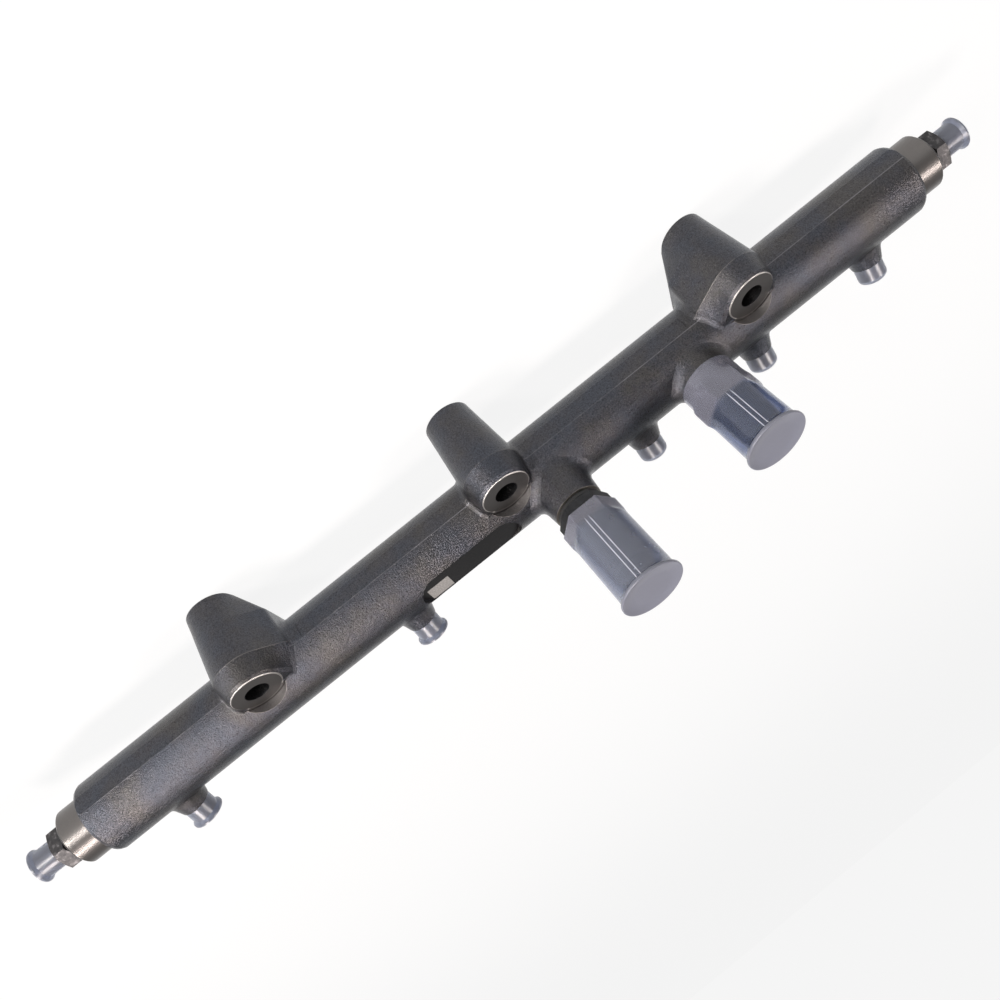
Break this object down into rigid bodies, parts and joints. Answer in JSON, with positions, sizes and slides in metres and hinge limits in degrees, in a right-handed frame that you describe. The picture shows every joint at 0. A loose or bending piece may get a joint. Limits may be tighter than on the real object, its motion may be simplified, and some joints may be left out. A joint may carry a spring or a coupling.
{
  "type": "fuel manifold",
  "caption": "Long forged round high-pressure fuel bar with bolt towers, threaded outlet stubs, end unions, a relief valve and a pressure sensor, all under translucent transport caps.",
  "frame": {"origin": "centre of the middle bolt hole in the plane that rests on the engine", "axes": "+X along the rail, +Z along the mounting bolts away from the engine, +Y from the rail towards the bolt towers"},
  "size_m": [0.6276, 0.0791, 0.1405],
  "materials": {
    "forged_steel": "forged and shot blasted, dark, satin",
    "phosphated_steel": "phosphated, dark, satin",
    "plated_steel": "zinc plated, satin",
    "soft_iron": "bare, satin",
    "seal_rubber": "matte",
    "connector_plastic": "moulded, satin",
    "contact_metal": "tinned",
    "cap_plastic": "translucent polyethylene, satin"
  },
  "bodies": {
    "root": {"rail_forging": "forged_steel", "end_union_left": "phosphated_steel", "end_union_right": "phosphated_steel", "union_washer_left": "soft_iron", "union_washer_right": "soft_iron", "end_cap_left": "cap_plastic", "end_cap_right": "cap_plastic", "relief_valve_body": "phosphated_steel", "relief_valve_plug": "phosphated_steel", "relief_valve_seal": "seal_rubber", "pressure_sensor_body": "plated_steel", "pressure_sensor_seal": "seal_rubber", "sensor_connector_shell": "connector_plastic", "sensor_contact_1": "contact_metal", "sensor_contact_2": "contact_metal", "sensor_contact_3": "contact_metal", "relief_valve_cap": "cap_plastic", "pressure_sensor_cap": "cap_plastic", "outlet_cap_1": "cap_plastic", "outlet_cap_2": "cap_plastic", "outlet_cap_3": "cap_plastic", "outlet_cap_4": "cap_plastic", "outlet_cap_5": "cap_plastic"}
  },
  "joints": []
}
